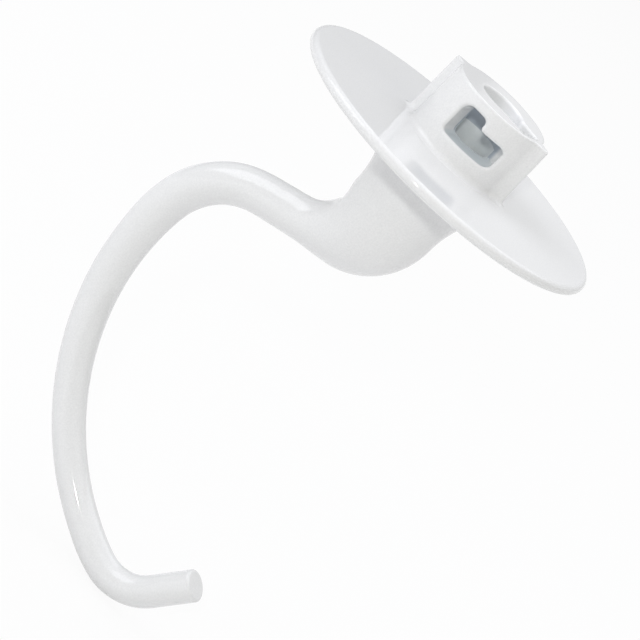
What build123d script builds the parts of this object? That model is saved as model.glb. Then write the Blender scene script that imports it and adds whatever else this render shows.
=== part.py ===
from build123d import *
from math import asin, degrees, radians, sin, tan
import os

# Dough hook for a stand mixer, cast in one piece, in millimetres
# The origin is on the shaft bore's axis, level with the collar's top face.
# +Z runs up the bore and out of its mouth, and the hook hangs in the XZ plane.

# Collar, the round plate that keeps dough off the drive
collar_diameter = 95.0
collar_thickness = 3.0

# Hub, the socket that stands on the collar
hub_diameter = 29.6
hub_height = 18.3
hub_draft = 0.9
hub_top_rounding = 0.55
hub_base_rounding = 1.6

# Noses, the two pointed ribs on the hub's parting line
nose_projection = 3.7
nose_point_angle = 65.0
nose_tip_excess = 0.15
nose_flank_rounding = 3.0

# Bore for the drive shaft
shaft_diameter = 12.7
shaft_clearance = 0.1
bore_depth = 26.0
bore_mouth_rounding = 0.6

# Channel that lets the shaft's cross pin down the side of the bore
channel_width = 7.8
channel_back_wall = 2.3
channel_angle = -13.0
channel_depth = 13.0
channel_mouth_corner = 2.0
channel_floor_rounding = 2.0

# Lock window, a step-shaped hole that the cross pin turns into
window_left = -2.8
window_step = 4.4
window_right = 11.2
window_low_height = 6.9
window_step_rise = 3.0
window_corner = 1.5
window_seat_corner = 3.0
window_step_rounding = 0.9
window_edge_rounding = 0.7
window_inner_reach = 3.0

# Hook centreline, from the collar to the tip, as straight runs and bends
stem_offset = -0.35
stem_length = 19.6
elbow_inner_radius = 3.7
elbow_angle = 53.0
sweep_radius = 37.4
sweep_angle = 19.7
arm_length = 11.4
shoulder_radius = 26.6
shoulder_angle = 67.2
belly_radius = 75.7
belly_angle = 80.4
toe_radius = 15.5
toe_angle = 71.0
tip_length = 13.5

# Round sections along the hook
stem_diameter = 26.6
arm_diameter = 11.9
shoulder_diameter = 11.6
tip_diameter = 8.9
root_taper_power = 1.15
belly_taper_power = 1.64
flare_angle = 44.4
flare_edge_rounding = 6.0
tip_rounding = 0.7

# Sections set out on each run of the centreline
elbow_stations = 6
sweep_stations = 5
arm_stations = 3
shoulder_stations = 5
belly_stations = 10
toe_stations = 5

# Sizes that follow from the ones above
collar_flat_radius = (collar_diameter - collar_thickness) / 2
bore_radius = shaft_diameter / 2 + shaft_clearance
hub_radius = hub_diameter / 2
nose_reach = hub_radius + nose_projection
nose_tip_rounding = hub_top_rounding + nose_tip_excess
channel_reach = hub_radius - channel_back_wall
stem_radius = stem_diameter / 2
elbow_radius = stem_radius + elbow_inner_radius
channel_floor = hub_height - channel_depth
window_low_top = channel_floor + window_low_height
window_tall_top = window_low_top + window_step_rise
collar_underside = -collar_thickness
stem_foot = collar_underside - stem_length
flare_radius = stem_length / sin(radians(flare_angle))
near = 1e-3


def root_diameter(share):
    """Diameter a given share of the way round the elbow, easing from stem to arm."""
    lagging = share**root_taper_power
    eased = lagging * lagging * (3 - 2 * lagging)
    return stem_diameter + (arm_diameter - stem_diameter) * eased


def stations(run, count, diameter_at):
    """Places, headings and diameters of the sections on one run, after its start."""
    for step in range(1, count + 1):
        along = step / count
        yield run @ along, run % along, diameter_at(along)


def hub_outline(radius, reach):
    """Round hub outline with a pointed nose on each side, eased into the round."""
    half_angle = nose_point_angle / 2
    spread = degrees(asin(reach * sin(radians(half_angle)) / radius)) - half_angle
    with BuildSketch() as outline:
        Circle(radius)
        for toward in (0, 180):
            nose_tip = Vector(reach, 0).rotate(Axis.Z, toward)
            flank_a = Vector(radius, 0).rotate(Axis.Z, toward + spread)
            flank_b = Vector(radius, 0).rotate(Axis.Z, toward - spread)
            with BuildLine():
                Polyline(nose_tip, flank_a, (0, 0), flank_b, close=True)
            make_face()
        tips = outline.vertices().filter_by(lambda v: Vector(v).length > radius + near)
        fillet(tips, nose_tip_rounding)
        flanks = outline.vertices().filter_by(lambda v: abs(Vector(v).length - radius) < near)
        flanks = flanks.filter_by(lambda v: abs(v.Y) > near)
        fillet(flanks, nose_flank_rounding)
    return outline.sketch


# Centreline of the hook, below the stem
with BuildLine(Plane.XZ) as centreline:
    stem = Line((stem_offset, collar_underside), (stem_offset, stem_foot))
    elbow = JernArc(stem @ 1, stem % 1, elbow_radius, -elbow_angle)
    sweep_out = JernArc(elbow @ 1, elbow % 1, sweep_radius, -sweep_angle)
    arm = Line(sweep_out @ 1, sweep_out @ 1 + (sweep_out % 1) * arm_length)
    shoulder = JernArc(arm @ 1, arm % 1, shoulder_radius, shoulder_angle)
    belly = JernArc(shoulder @ 1, shoulder % 1, belly_radius, belly_angle)
    toe = JernArc(belly @ 1, belly % 1, toe_radius, toe_angle)

# The rod thins from stem to arm round the elbow, then from shoulder to tip down the belly
elbow_share = elbow.length / (elbow.length + sweep_out.length)
arm_change = shoulder_diameter - arm_diameter
belly_change = tip_diameter - shoulder_diameter
sections = [(stem @ 1, stem % 1, stem_diameter)]
sections += stations(elbow, elbow_stations, lambda t: root_diameter(t * elbow_share))
sections += stations(
    sweep_out,
    sweep_stations,
    lambda t: root_diameter(elbow_share + t * (1 - elbow_share)),
)
sections += stations(arm, arm_stations, lambda t: arm_diameter + arm_change * t)
sections += stations(shoulder, shoulder_stations, lambda t: shoulder_diameter)
sections += stations(
    belly,
    belly_stations,
    lambda t: tip_diameter - belly_change * (1 - t) ** belly_taper_power,
)
sections += stations(toe, toe_stations, lambda t: tip_diameter)

with BuildPart() as dough_hook:
    # Collar, with a fully rounded rim
    with BuildSketch(Plane.XZ):
        with BuildLine():
            top_face = Line((0, 0), (collar_flat_radius, 0))
            rim = JernArc(top_face @ 1, (1, 0), collar_thickness / 2, -180)
            Polyline(rim @ 1, (0, collar_underside), top_face @ 0)
        make_face()
    revolve(axis=Axis.Z)

    # Stem, flared like a trumpet into the collar's underside
    with BuildSketch(Plane.XZ.move(Location((stem_offset, 0, 0)))):
        with BuildLine():
            foot = Line((0, stem_foot), (stem_radius, stem_foot))
            flare = JernArc(foot @ 1, (0, 1), flare_radius, -flare_angle)
            Polyline(flare @ 1, (0, collar_underside), foot @ 0)
        make_face()
    revolve(axis=Axis((stem_offset, 0, 0), (0, 0, 1)))
    underside = edges().filter_by(lambda e: abs(e.center().Z - collar_underside) < near)
    fillet(underside.sort_by(SortBy.LENGTH)[0], flare_edge_rounding)

    # Tapered rod from the stem's foot to the end of the toe
    for place, heading, diameter in sections:
        with BuildSketch(Plane(origin=place, x_dir=(0, 1, 0), z_dir=heading)):
            Circle(diameter / 2)
    loft()

    # Straight tip, cut square
    toe_face = faces().filter_by(GeomType.PLANE).sort_by_distance(toe @ 1)[0]
    extrude(toe_face, amount=tip_length)
    tip_end = toe @ 1 + (toe % 1) * tip_length
    tip_face = faces().filter_by(GeomType.PLANE).sort_by_distance(tip_end)[0]
    fillet(tip_face.edges(), tip_rounding)

    # Hub with its two noses, drafted from the collar up
    for level in (0, hub_height):
        inset = level * tan(radians(hub_draft))
        with BuildSketch(Plane.XY.offset(level)):
            add(hub_outline(hub_radius - inset, nose_reach - inset))
    loft(ruled=True)
    hub_base = edges().filter_by(lambda e: abs(e.center().Z) < near)
    hub_base = hub_base.filter_by(lambda e: e.bounding_box().max.X < nose_reach + near)
    fillet(hub_base, hub_base_rounding)
    fillet(faces().sort_by(Axis.Z)[-1].edges(), hub_top_rounding)

    # Keyhole for the shaft and its cross pin, down to the channel's floor
    with BuildSketch(Plane.XY.offset(channel_floor)) as keyhole:
        Rectangle(hub_radius, channel_width, rotation=channel_angle, align=(Align.MIN, Align.CENTER))
        Circle(channel_reach, mode=Mode.INTERSECT)
        Circle(bore_radius)
        mouths = keyhole.vertices().filter_by(lambda v: abs(Vector(v).length - bore_radius) < near)
        fillet(mouths, channel_mouth_corner)
    extrude(amount=channel_depth, mode=Mode.SUBTRACT)
    channel_end = Vector(channel_reach, 0, channel_floor).rotate(Axis.Z, channel_angle)
    fillet(edges().sort_by_distance(channel_end)[0], channel_floor_rounding)
    mouth_edges = faces().sort_by(Axis.Z)[-1].inner_wires()[0].edges()
    fillet(mouth_edges, bore_mouth_rounding)

    # Full bore, on down into the stem
    with BuildSketch(Plane.XY.offset(channel_floor)):
        Circle(bore_radius)
    extrude(amount=channel_depth - bore_depth, mode=Mode.SUBTRACT)

    # Lock window through the wall, open to the bore and the channel
    with BuildSketch(Plane.XZ.offset(window_inner_reach)) as window:
        with BuildLine():
            Polyline(
                (window_left, channel_floor),
                (window_left, window_tall_top),
                (window_step, window_tall_top),
                (window_step, window_low_top),
                (window_right, window_low_top),
                (window_right, channel_floor),
                close=True,
            )
        make_face()
        step_place = (window_step, window_low_top)
        seat_place = (window_left, window_tall_top)
        step_corner = window.vertices().sort_by_distance(step_place)[0]
        seat_corner = window.vertices().sort_by_distance(seat_place)[0]
        fillet(window.vertices() - [step_corner, seat_corner], window_corner)
        fillet(window.vertices().sort_by_distance(step_place)[0], window_step_rounding)
        fillet(window.vertices().sort_by_distance(seat_place)[0], window_seat_corner)
    extrude(amount=hub_diameter, mode=Mode.SUBTRACT)
    wall = faces().filter_by(lambda f: f.inner_wires()).sort_by(Axis.Y)[0]
    fillet(wall.inner_wires()[0].edges(), window_edge_rounding)

os.makedirs("parts", exist_ok=True)
dough_hook.part.label = "dough_hook"
export_step(dough_hook.part, "parts/dough_hook.step")
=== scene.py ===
import math

import bpy
from mathutils import Matrix, Vector


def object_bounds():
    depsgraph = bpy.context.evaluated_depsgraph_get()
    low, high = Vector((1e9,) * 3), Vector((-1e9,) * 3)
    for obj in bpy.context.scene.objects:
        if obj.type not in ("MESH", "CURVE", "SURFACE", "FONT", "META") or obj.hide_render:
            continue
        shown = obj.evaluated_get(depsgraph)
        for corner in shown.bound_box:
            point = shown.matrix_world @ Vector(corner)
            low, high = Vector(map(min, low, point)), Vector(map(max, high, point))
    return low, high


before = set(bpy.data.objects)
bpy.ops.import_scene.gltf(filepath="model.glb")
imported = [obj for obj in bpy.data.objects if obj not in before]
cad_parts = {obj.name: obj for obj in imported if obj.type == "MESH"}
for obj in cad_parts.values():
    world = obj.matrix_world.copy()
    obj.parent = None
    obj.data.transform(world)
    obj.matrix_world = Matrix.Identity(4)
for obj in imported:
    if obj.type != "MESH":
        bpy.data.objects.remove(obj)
cad_low, cad_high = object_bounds()

scene = bpy.context.scene
scene.view_settings.view_transform = "Standard"
MM = 0.001


def toward(azimuth, elevation):
    """Unit vector to a place seen at these angles; azimuth 0 is in front, on -Y."""
    a = math.radians(azimuth)
    e = math.radians(elevation)
    return Vector((math.sin(a) * math.cos(e), -math.cos(a) * math.cos(e), math.sin(e)))


# Helpers for shader nodes
def node(tree, kind, **values):
    """Adds a shader node, sets its properties and input values, and returns it."""
    n = tree.nodes.new(kind)
    for key, value in values.items():
        if hasattr(n, key):
            setattr(n, key, value)
        else:
            n.inputs[key].default_value = value
    return n


def feed(tree, socket, value):
    """Links an output into a socket, or sets the socket to a plain value."""
    if isinstance(value, bpy.types.NodeSocket):
        tree.links.new(value, socket)
    else:
        socket.default_value = value


def calc(tree, operation, first, second):
    """Output of a Math node on two sockets or numbers."""
    n = node(tree, "ShaderNodeMath", operation=operation)
    feed(tree, n.inputs[0], first)
    feed(tree, n.inputs[1], second)
    return n.outputs[0]


def product(tree, first, *others):
    """Output of first times each of the others."""
    for other in others:
        first = calc(tree, "MULTIPLY", first, other)
    return first


def separate(tree, vector):
    """Outputs X, Y and Z of a vector."""
    n = node(tree, "ShaderNodeSeparateXYZ")
    feed(tree, n.inputs[0], vector)
    return n.outputs


def rise(tree, value, start, end):
    """Output that eases from 0 where value is at start to 1 where it is at end."""
    n = node(tree, "ShaderNodeMapRange", interpolation_type="SMOOTHSTEP")
    feed(tree, n.inputs["Value"], value)
    feed(tree, n.inputs["From Min"], start)
    feed(tree, n.inputs["From Max"], end)
    return n.outputs["Result"]


def remap(tree, value, low, high):
    """Output that runs from low to high as value runs from 0 to 1."""
    n = node(tree, "ShaderNodeMapRange")
    feed(tree, n.inputs["Value"], value)
    feed(tree, n.inputs["To Min"], low)
    feed(tree, n.inputs["To Max"], high)
    return n.outputs["Result"]


def blend_number(tree, share, first, second):
    """Output number that goes from first to second with share."""
    n = node(tree, "ShaderNodeMix", data_type="FLOAT")
    feed(tree, n.inputs[0], share)
    feed(tree, n.inputs[2], first)
    feed(tree, n.inputs[3], second)
    return n.outputs[0]


def blend_colour(tree, share, first, second):
    """Output colour that goes from first to second with share."""
    n = node(tree, "ShaderNodeMix", data_type="RGBA")
    feed(tree, n.inputs[0], share)
    feed(tree, n.inputs[6], first)
    feed(tree, n.inputs[7], second)
    return n.outputs[2]


def grain(tree, place, size, detail):
    """Output of a noise texture whose features are about size across."""
    n = node(tree, "ShaderNodeTexNoise", Scale=1 / size, Detail=detail)
    feed(tree, n.inputs["Vector"], place)
    return n.outputs["Fac"]


def bump(tree, height, depth, normal):
    """Output normal, bent as if the surface rose by depth where height is 1."""
    n = node(tree, "ShaderNodeBump", Distance=depth)
    feed(tree, n.inputs["Height"], height)
    feed(tree, n.inputs["Normal"], normal)
    return n.outputs[0]


def blank_material(name):
    """Adds a material with an empty node tree and returns it with its tree and output node."""
    material = bpy.data.materials.new(name)
    material.use_nodes = True
    material.node_tree.nodes.clear()
    out = node(material.node_tree, "ShaderNodeOutputMaterial")
    return material, material.node_tree, out


def show_white(tree, lit, white, other_ray, share, out):
    """Shows a share of white over the lit shader, to rays from the camera and one other kind of ray."""
    path = node(tree, "ShaderNodeLightPath")
    seen = calc(tree, "MAXIMUM", path.outputs["Is Camera Ray"], path.outputs[other_ray])
    blend = node(tree, "ShaderNodeMixShader")
    feed(tree, blend.inputs["Fac"], product(tree, seen, share))
    tree.links.new(lit.outputs[0], blend.inputs[1])
    tree.links.new(white.outputs[0], blend.inputs[2])
    tree.links.new(blend.outputs[0], out.inputs["Surface"])


# Camera, at the photograph's viewing angle, rolled as the hook is in the picture
view_azimuth = 16.4
view_elevation = 17.4
roll = math.radians(44.3)
focal_px = 2744.7
frame_px = 640
sensor_width = 36
nearest_seen = 10 * MM
eye = (0.19804, -0.65491, 0.15761)
back = toward(view_azimuth, view_elevation)
right = toward(view_azimuth + 90, 0)
up = back.cross(right)
camera_x = right * math.cos(roll) + up * math.sin(roll)
camera_y = up * math.cos(roll) - right * math.sin(roll)
lens_data = bpy.data.cameras.new("camera")
lens_data.sensor_width = sensor_width
lens_data.lens = focal_px / frame_px * sensor_width
lens_data.clip_start = nearest_seen
camera = bpy.data.objects.new("camera", lens_data)
scene.collection.objects.link(camera)
axes = Matrix((camera_x, camera_y, back)).transposed().to_4x4()
camera.matrix_world = Matrix.Translation(eye) @ axes
scene.camera = camera


# Floor of white paper, just under the hook's lowest point
floor_reach = 6.0
floor_gap = 0.5 * MM
floor_level = cad_low[2] - floor_gap
floor_grey = (0.8, 0.8, 0.8, 1)
floor_whiteness = 0.92
floor_corners = []
for side_x, side_y in ((-1, -1), (1, -1), (1, 1), (-1, 1)):
    floor_corners.append((side_x * floor_reach, side_y * floor_reach, floor_level))
floor_mesh = bpy.data.meshes.new("floor")
floor_mesh.from_pydata(floor_corners, [], [(0, 1, 2, 3)])
floor = bpy.data.objects.new("floor", floor_mesh)
scene.collection.objects.link(floor)

paper, tree, out = blank_material("white_paper")
lit = node(tree, "ShaderNodeBsdfDiffuse", Color=floor_grey)
white = node(tree, "ShaderNodeEmission", Color=(1, 1, 1, 1), Strength=1.0)
show_white(tree, lit, white, "Is Glossy Ray", floor_whiteness, out)
floor_mesh.materials.append(paper)


# World, a white studio that lights the object evenly
room_tint = (1.0, 1.0, 0.97, 1)
room_light = 0.40
world = bpy.data.worlds.new("studio")
scene.world = world
world.use_nodes = True
tree = world.node_tree
tree.nodes.clear()
out = node(tree, "ShaderNodeOutputWorld")
lit = node(tree, "ShaderNodeBackground", Color=room_tint, Strength=room_light)
white = node(tree, "ShaderNodeBackground", Color=(1, 1, 1, 1), Strength=1.0)
show_white(tree, lit, white, "Is Transmission Ray", 1.0, out)


# Lamps: a compact key by the camera, and large soft ones round the object
lamp_target = Vector((0, 0, -60 * MM))


def lamp(name, azimuth, elevation, distance, size, light, tint):
    """Adds a lamp at these angles that puts about this much light, in W/m2, on the hook's middle."""
    data = bpy.data.lights.new(name, "AREA")
    data.shape = "RECTANGLE"
    data.size, data.size_y = size
    data.energy = light * math.pi * distance**2
    data.color = tint
    obj = bpy.data.objects.new(name, data)
    scene.collection.objects.link(obj)
    obj.location = lamp_target + toward(azimuth, elevation) * distance
    obj.rotation_euler = (-toward(azimuth, elevation)).to_track_quat("-Z", "Y").to_euler()


lamp("key", azimuth=12.5, elevation=22, distance=1.2, size=(0.05, 0.05), light=0.77, tint=(1, 1, 0.97))
lamp("left", azimuth=-62, elevation=35, distance=1.3, size=(0.9, 0.9), light=1.12, tint=(0.93, 0.945, 1))
lamp("top", azimuth=-15, elevation=65, distance=1.3, size=(1.3, 1.3), light=0.50, tint=(0.90, 0.915, 1))
lamp("right", azimuth=80, elevation=35, distance=1.3, size=(1.3, 1.3), light=0.45, tint=(1, 0.99, 0.96))
lamp("rear", azimuth=180, elevation=65, distance=1.3, size=(1.3, 1.3), light=1.30, tint=(0.92, 0.935, 1))
lamp("backdrop", azimuth=170, elevation=18, distance=1.3, size=(1.3, 0.9), light=0.22, tint=(0.97, 0.98, 1))


# Fades of the socket's zones, each given as the height, radius or place where it starts and where it is full
above_bottom_height = (-9 * MM, -8.5 * MM)
bore_radius = (8 * MM, 7 * MM)
# Painted shade: the bore's sides above the floor are greyed where little light reaches
wall_height = (15 * MM, 11 * MM)
mouth_height = (12 * MM, 15 * MM)
# Painted highlight: the coat is paler on the +X side of the bore's mouth, standing in for light that reaches
# that side
painted_highlight_side_across = (-5 * MM, 3 * MM)
bare_height = (8 * MM, 7.6 * MM)
bare_radius = (6.75 * MM, 6.6 * MM)
# Painted shade: the bare bore darkens towards its lower end
deep_height = (1 * MM, -4 * MM)
# Painted shade: the upward floor of the window and channel is greyed where the hub shades it
ledge_low_height = (3.5 * MM, 4.5 * MM)
ledge_high_height = (8 * MM, 7 * MM)
ledge_radius = (14 * MM, 13 * MM)
level_normal = (0.5, 0.9)


def socket_zones(tree, place):
    """Masks of the socket's zones: one side of the mouth for a painted highlight, the bore's sides and the
    upward floor round it for painted shade, the bare bore, and its lower end for painted shade that darkens
    with depth.
    """
    across, along, height = separate(tree, place)
    radius_squared = calc(tree, "ADD", calc(tree, "POWER", across, 2), calc(tree, "POWER", along, 2))
    radius = calc(tree, "POWER", radius_squared, 0.5)
    facing_up = separate(tree, node(tree, "ShaderNodeNewGeometry").outputs["Normal"])["Z"]

    above_bottom = rise(tree, height, *above_bottom_height)
    bore = product(tree, rise(tree, radius, *bore_radius), above_bottom)
    # The bore's sides above the floor, greyed as painted shade
    wall = product(tree, bore, rise(tree, height, *wall_height))
    mouth = product(tree, bore, rise(tree, height, *mouth_height))
    # Painted highlight on the +X side of the mouth
    painted_highlight_lip = product(tree, mouth, rise(tree, across, *painted_highlight_side_across))
    below_ledge = product(tree, rise(tree, height, *bare_height), above_bottom)
    bare = product(tree, rise(tree, radius, *bare_radius), below_ledge)
    # Lower end of the bore, darkened as painted shade
    depth_shade = rise(tree, height, *deep_height)
    # The upward floor round the bore, greyed as painted shade
    shaded_ledge = product(
        tree,
        rise(tree, height, *ledge_low_height),
        rise(tree, height, *ledge_high_height),
        rise(tree, facing_up, *level_normal),
        rise(tree, radius, *ledge_radius),
    )
    return {"painted_highlight_lip": painted_highlight_lip, "wall": wall, "shaded_ledge": shaded_ledge, "bare": bare, "depth_shade": depth_shade}


# Glossy white coat over cast aluminium, greyer inside the socket as painted shade, paler on one side of its
# mouth as a painted highlight, with bare metal low in the bore that darkens towards its end as painted shade
coat_tones = ((0.73, 0.732, 0.738, 1), (0.88, 0.88, 0.88, 1))
# Paler coat on one side of the mouth: a painted highlight
painted_highlight_lip_colour = (0.93, 0.93, 0.945, 1)
# Blue-grey of the bore's sides: painted shade in the recess
wall_colour = (0.46, 0.505, 0.56, 1)
# Grey of the upward floor inside the socket: painted shade
painted_shade_ledge_colour = (0.68, 0.73, 0.74, 1)
metal_tones = ((0.76, 0.80, 0.81, 1), (0.88, 0.91, 0.915, 1))
# Dark speckled tones at the bore's lower end: painted shade
painted_shade_deep_metal_tones = ((0.07, 0.09, 0.105, 1), (0.30, 0.36, 0.38, 1))
drift_share = 0.2
coat_roughness = (0.03, 0.08)
metal_roughness = (0.35, 0.55)
metal_share = 0.15
coat_ior = 1.5
edge_softness = 0.8 * MM
edge_samples = 8
wave_depth = 0.02 * MM
peel_depth = 0.010 * MM

# Grains of its noise textures, each the size of the features and the levels of detail
drift_grain = (40 * MM, 2)
mottle_grain = (0.45 * MM, 1)
speck_grain = (0.5 * MM, 3)
cloud_grain = (18 * MM, 2)
wave_grain = (9 * MM, 1)
peel_grain = (0.5 * MM, 2)


def coat_colour(tree, place, speck, zone):
    """Output colour: a white coat with slow drift and fine mottle, painted light and painted shade in the
    socket, and the bore's bare metal.
    """
    drift = grain(tree, place, *drift_grain)
    mottle = grain(tree, place, *mottle_grain)
    tone = blend_number(tree, drift_share, mottle, drift)
    colour = blend_colour(tree, tone, *coat_tones)
    # Painted highlight on one side of the mouth
    colour = blend_colour(tree, zone["painted_highlight_lip"], colour, painted_highlight_lip_colour)
    # Painted shade on the bore's sides
    colour = blend_colour(tree, zone["wall"], colour, wall_colour)
    # Painted shade on the upward floor
    colour = blend_colour(tree, zone["shaded_ledge"], colour, painted_shade_ledge_colour)
    metal = blend_colour(tree, speck, *metal_tones)
    # Painted shade: the bare metal darkens towards the bore's lower end
    painted_shade_deep_metal = blend_colour(tree, speck, *painted_shade_deep_metal_tones)
    metal = blend_colour(tree, zone["depth_shade"], metal, painted_shade_deep_metal)
    return blend_colour(tree, zone["bare"], colour, metal)


def coat_normal(tree, place):
    """Output normal: soft edges, the casting's slow waves and the coat's fine orange peel."""
    soft = node(tree, "ShaderNodeBevel", samples=edge_samples, Radius=edge_softness).outputs[0]
    waves = bump(tree, grain(tree, place, *wave_grain), wave_depth, soft)
    return bump(tree, grain(tree, place, *peel_grain), peel_depth, waves)


def white_coat():
    """Material of the whole casting, in the part's own coordinates."""
    material, tree, out = blank_material("white_coat")
    place = node(tree, "ShaderNodeTexCoord").outputs["Object"]
    zone = socket_zones(tree, place)
    speck = grain(tree, place, *speck_grain)
    gloss = remap(tree, grain(tree, place, *cloud_grain), *coat_roughness)
    dull = remap(tree, speck, *metal_roughness)
    shader = node(tree, "ShaderNodeBsdfPrincipled", IOR=coat_ior)
    feed(tree, shader.inputs["Base Color"], coat_colour(tree, place, speck, zone))
    feed(tree, shader.inputs["Roughness"], blend_number(tree, zone["bare"], gloss, dull))
    feed(tree, shader.inputs["Metallic"], product(tree, zone["bare"], metal_share))
    feed(tree, shader.inputs["Normal"], coat_normal(tree, place))
    tree.links.new(shader.outputs[0], out.inputs["Surface"])
    return material


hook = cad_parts["dough_hook"]
hook.data.materials.clear()
hook.data.materials.append(white_coat())
